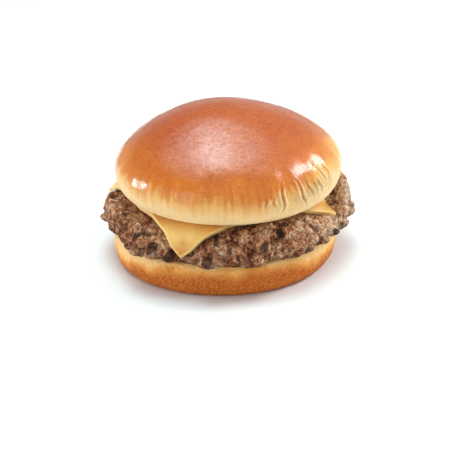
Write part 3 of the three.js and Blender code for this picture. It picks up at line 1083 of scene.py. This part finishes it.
def make_cheese():
    material, tree, shader = new_material("warm yellow cheese")
    mottle = use_group(tree, mottle_group, {"Patch Size": 0.012, "Speck Size": 0.003})
    specks = mottle.outputs["Specks"]
    body = tint(tree, mottle.outputs["Patches"], colour(244, 188, 92), colour(254, 214, 132))
    height = place_along(tree, "Z")
    # Darker and browner towards the lowest corner.
    low = stretch_range(tree, height, patty_base + 0.015, patty_base + 0.005)
    body = tint(tree, low, body, colour(190, 116, 32))
    # Painted shadow of the crown along the top of the slice.
    high = stretch_range(tree, height, slice_middle - 0.0025, slice_middle + 0.001, 0.0, 0.45)
    body = tint(tree, high, body, colour(206, 130, 44))
    # Painted shade: darker towards the far right, where the right light falls.
    painted_right_shade = stretch_range(tree, place_along(tree, "X"), 0.036, 0.05, 0.0, 0.3)
    body = tint(tree, painted_right_shade, body, colour(200, 140, 66))
    away = add(tree, "VectorMath", {0: own_place(tree), 1: STAIN}, operation="DISTANCE").outputs["Value"]
    stained = times(tree, stretch_range(tree, away, STAIN_SIZE, 0.0, 0.0, 0.7), specks)
    body = tint(tree, stained, body, colour(176, 112, 30))
    # Painted highlight: the cut edges are paler, as if they catch the light.
    body = tint(tree, times(tree, stored(tree, "rim"), 0.7), body, colour(255, 222, 150))
    join(tree, shader, {
        "Base Color": body, "Normal": relief(tree, specks, 0.0002, 0.3), "Roughness": 0.38,
        "Subsurface Weight": 0.35, "Subsurface Scale": 0.003, "Subsurface Radius": (1.0, 0.55, 0.2),
    })
    return material


dress(cheese, make_cheese())

# %% [markdown]
# ### The crown's glaze
#
# Egg wash makes the crown shine and brown deeply, and it runs out before the lower edge, which stays pale
# cream. So the bake is again a ramp over the height, from cream through gold to red-brown, pushed about
# by mottle and by the skin streaks that break up its lower edge. The glaze itself is the shader's coat: a
# thin clear layer that is strong on the dome and fades out where the wash did. Its relief is leathery,
# with fine wrinkles all over, level rings near the top and crumpled skin between the pleats. The numbers
# painted on the points say where a crease and its lips are: the lips are painted pale as painted
# highlights, and the grooves darker golden, partly as painted shade. The bake is also painted paler on
# the right, partly as painted light from that side, and a darker red patch on the upper left is painted
# shade.

# %% Finish the crown
# The streaks group's pattern at three sizes, across and along: streaks up the side, level rings, crepe.
STREAK_SIZE = (0.0018, 0.016)
RING_SIZE = (0.013, 0.0013)
CREPE_SIZE = (0.0011, 0.004)
WRINKLE_SIZE = 0.0015


def make_crown_glaze():
    material, tree, shader = new_material("egg glazed crust")
    mottle = use_group(tree, mottle_group, {"Patch Size": 0.016, "Speck Size": 0.0011})
    specks = mottle.outputs["Specks"]
    pores = use_group(tree, pores_group, {"Size": 0.0032, "Share": 0.07}).outputs[0]
    streaks, rings, creped = [
        use_group(tree, streaks_group, {"Axis": (*crown_axis, 0), "Across": across, "Along": along})
        .outputs[0] for across, along in (STREAK_SIZE, RING_SIZE, CREPE_SIZE)
    ]
    noise = {"Vector": own_place(tree), "Scale": 1 / WRINKLE_SIZE, "Detail": 4.0, "Roughness": 0.6,
             "Distortion": 1.0}
    wrinkles = add(tree, "TexNoise", noise).outputs[0]
    right = place_along(tree, "X")

    # The bake follows the height. It starts higher on the left, on the right it is paler still, partly as
    # painted light from that side, and streaks break up its edge.
    rise = maths(tree, "SUBTRACT", place_along(tree, "Z"), crown_base)
    height = maths(tree, "DIVIDE", rise, crown_height)
    paler = stretch_range(tree, right, -0.010, -0.045, 0.08, 0.11)
    paler = plus(tree, paler, stretch_range(tree, right, 0.024, 0.054, 0.0, 0.16))
    pushed = maths(tree, "SUBTRACT", height, paler)
    pushed = maths(tree, "MULTIPLY_ADD", mottle.outputs["Patches"], 0.12, pushed)
    streaked = times(tree, streaks, stretch_range(tree, height, 0.35, 0.65, 1.0, 0.0))
    lifted = maths(tree, "MULTIPLY_ADD", streaked, 0.09, pushed)
    bake = ramp(tree, lifted, [
        (0.00, colour(248, 216, 164)), (0.18, colour(243, 208, 150)), (0.30, colour(238, 180, 98)),
        (0.42, colour(210, 114, 12)), (0.54, colour(190, 90, 2)), (0.75, colour(184, 84, 2)),
        (1.00, colour(180, 80, 6)),
    ])

    # Near the top, redder rings, and on the left a darker red patch of painted shade.
    bands = times(tree, rings, stretch_range(tree, height, 0.55, 0.8, 0.0, 0.7))
    bake = tint(tree, bands, bake, colour(164, 54, 6))
    painted_dark_patch = stretch_range(tree, right, 0.010, -0.022, 0.0, 0.5)
    painted_dark_patch = times(tree, stretch_range(tree, height, 0.62, 0.8), painted_dark_patch)
    bake = tint(tree, painted_dark_patch, bake, colour(168, 54, 2))

    # Brown in the wrinkles and pale specks. The grooves are painted darker golden, partly as painted
    # shade, and the lips pale as painted highlights.
    browned = stretch_range(tree, height, 0.4, 0.8, 0.0, 0.7)
    browned = times(tree, stretch_range(tree, wrinkles, 0.5, 0.34), browned)
    bake = tint(tree, browned, bake, colour(150, 62, 20))
    bake = tint(tree, times(tree, specks, 0.16), bake, colour(236, 156, 70))
    fold = stored(tree, "fold")
    bake = tint(tree, stretch_range(tree, fold, -0.1, -0.9, 0.0, 0.5), bake, colour(196, 116, 32))
    bake = tint(tree, stretch_range(tree, fold, 0.1, 0.6, 0.0, 0.9), bake, colour(255, 228, 172))

    glaze = stretch_range(tree, lifted, 0.15, 0.45, 0.15, 1.0)
    glaze = times(tree, glaze, stretch_range(tree, wrinkles, 0.38, 0.56, 0.58, 1.0))
    grain = maths(tree, "MULTIPLY_ADD", streaked, 0.4, plus(tree, specks, wrinkles))
    leather = times(tree, rings, stretch_range(tree, height, 0.5, 0.75))
    skin = relief(tree, plus(tree, grain, leather), 0.0006, 0.48)
    crepe = times(tree, plus(tree, creped, wrinkles), stored(tree, "crumple"))
    skin = relief(tree, crepe, 0.0008, 0.7, over=skin)
    skin = relief(tree, pores, 0.0004, 0.7, over=skin, inwards=True)
    join(tree, shader, {
        "Base Color": bake, "Normal": skin, "Roughness": stretch_range(tree, lifted, 0.1, 0.5, 0.5, 0.32),
        "Specular IOR Level": 0.1, "Coat Weight": glaze, "Coat Roughness": 0.18, "Coat IOR": 1.62,
        "Subsurface Weight": 0.1, "Subsurface Scale": 0.002,
    })
    return material


dress(crown, make_crown_glaze())

# %% [markdown]
# ## Dressing the model
#
# Each piece rides on the burger's one body and stands for its CAD solid.

# %% Ride and replace
for piece, node, slot in (
    (heel, "bun_heel", "heel_crust"),
    (patty, "patty", "grilled_beef"),
    (cheese, "cheese_slice", "cheese"),
    (crown, "bun_crown", "crown_crust"),
):
    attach(piece, "root")
    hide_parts(node)

# %% [markdown]
# ## The studio
#
# Food like this is shot on white: a pale table top, bright air all round, one large softbox overhead for
# the broad highlight on the glaze, a narrow light low on the left and a slanting one higher on the right
# for the sparks on the shoulder and in the pleats, and weak fills in front. A softbox with an even face
# would print its own outline on the glaze, so the big one is bright in the middle and fades towards its
# edges, by nodes on the light. To the camera the air is plain white, which hides the table's edge, but it
# lights the food mostly from round the horizon.

# %% Floor, air and lights
FLOOR_RADIUS = 0.5
HORIZON_BRIGHTNESS = 0.8
CEILING_BRIGHTNESS = 0.42
AIR_SIDES = (-0.8, 0.6, 0.62, 0.87)  # from left to right, and its share of brightness there
LIGHTS_AIM = Vector((0, 0, 0.04))  # the middle of the burger


def make_floor():
    """A round table top, whose edge is lost in the white air."""
    deselect_all()
    bpy.ops.mesh.primitive_circle_add(vertices=96, radius=FLOOR_RADIUS, fill_type="NGON")
    floor = bpy.context.object
    floor.name = "studio_floor"
    material, tree, shader = new_material("pale floor")
    join(tree, shader, {"Base Color": colour(236, 236, 236), "Roughness": 0.7})
    floor.data.materials.append(material)


def make_air():
    """Air that lights the food most from round the horizon, and that looks plain white to the camera."""
    world = bpy.data.worlds.new("bright air")
    bpy.context.scene.world = world
    world.use_nodes = True
    tree = world.node_tree
    way = add(tree, "SeparateXYZ", {0: add(tree, "TexCoord").outputs["Generated"]})
    light = stretch_range(tree, way.outputs["Z"], 0.02, 0.32, HORIZON_BRIGHTNESS, CEILING_BRIGHTNESS)
    light = times(tree, light, stretch_range(tree, way.outputs["X"], *AIR_SIDES))
    light = times(tree, light, stretch_range(tree, way.outputs["Z"], -0.02, 0.0, 0.5, 1.0))
    seen = add(tree, "LightPath").outputs["Is Camera Ray"]
    tree.links.new(maths(tree, "MAXIMUM", light, seen), tree.nodes["Background"].inputs["Strength"])
    tree.nodes["Background"].inputs["Color"].default_value = (1, 1, 1, 1)


def make_softbox(name, azimuth, elevation, distance, width, height, brightness, roll=0):
    """An area light in a direction given in degrees, facing the burger, with its face's brightness."""
    a, e = math.radians(azimuth), math.radians(elevation)
    way = Vector((math.cos(a) * math.cos(e), math.sin(a) * math.cos(e), math.sin(e)))
    bpy.ops.object.light_add(type="AREA", location=LIGHTS_AIM + distance * way)
    light = bpy.context.object
    light.name = name
    light.data.shape = "RECTANGLE"
    light.data.size = width
    light.data.size_y = height
    light.data.energy = brightness * math.pi * width * height
    facing = way.to_track_quat("Z", "Y") @ Quaternion((0, 0, 1), math.radians(roll))
    light.rotation_euler = facing.to_euler()
    return light


# Places on the big softbox's face, from 0 to 1 across and along.
SOFTBOX_MIDDLE = 0.56
SOFTBOX_GLOWS = [(0.19, 0.47), (0.47, 0.53)]  # half width and share of the narrow and the wide glow
SOFTBOX_FRONT = (0.15, 0.65)  # dark and bright at its front
SOFTBOX_BACK = (0.99, 0.68)  # dark and bright at its back
SOFTBOX_COLOUR = (0.82, 0.97, 1.0)


def soften(light):
    """Gives a softbox a bright middle and a wide glow to both sides, fading out to its front and back."""
    light.data.use_nodes = True
    tree = light.data.node_tree
    place = add(tree, "SeparateXYZ", {0: add(tree, "NewGeometry").outputs["Parametric"]})
    off = maths(tree, "ABSOLUTE", maths(tree, "SUBTRACT", place.outputs["X"], SOFTBOX_MIDDLE))
    glows = [stretch_range(tree, off, width, 0.0, 0.0, share) for width, share in SOFTBOX_GLOWS]
    fades = [stretch_range(tree, place.outputs["Y"], *ends) for ends in (SOFTBOX_FRONT, SOFTBOX_BACK)]
    strength = times(tree, plus(tree, *glows), times(tree, *fades))
    join(tree, tree.nodes["Emission"], {"Strength": strength})
    light.data.color = SOFTBOX_COLOUR


make_floor()
make_air()
# Each light: name, direction round and up, distance, width, height, brightness, and a turn if it slants.
soften(make_softbox("overhead softbox", 95, 72, 1.0, 2.0, 1.7, 8.3))
make_softbox("front fill", -95, 35, 1.4, 2.2, 1.2, 0.36)
make_softbox("left light", 174, 7, 0.9, 0.08, 0.32, 28)
make_softbox("left fill", -142, 16, 1.1, 0.6, 0.6, 1.25)
make_softbox("right fill", -38, 14, 1.1, 0.6, 0.6, 0.55)
make_softbox("right light", 16, 36, 0.9, 0.6, 0.22, 12, -41)
bpy.context.scene.view_settings.view_transform = "Standard"

# %% [markdown]
# ## The camera
#
# A long lens from about 70 centimetres keeps the stack's sides nearly parallel, and looking down by 25
# degrees shows both the dome and the layers. The whole frame leans by a degree and a half.

# %% Set up the camera
CAMERA_PLACE = Vector((-0.00324, -0.64017, 0.31356))
CAMERA_AIM = Vector((-0.00181, 0.01451, 0.00676))
CAMERA_ROLL = math.radians(-1.42)
LENS_MM = 109.95

bpy.ops.object.camera_add(location=CAMERA_PLACE)
camera = bpy.context.object
camera.name = "table camera"
camera.data.lens = LENS_MM
camera.rotation_mode = "QUATERNION"
look = (CAMERA_AIM - CAMERA_PLACE).to_track_quat("-Z", "Y")
camera.rotation_quaternion = look @ Quaternion((0, 0, 1), CAMERA_ROLL)
bpy.context.scene.camera = camera
print("camera", round((CAMERA_AIM - CAMERA_PLACE).length, 3), "m from its aim, lens", LENS_MM, "mm")
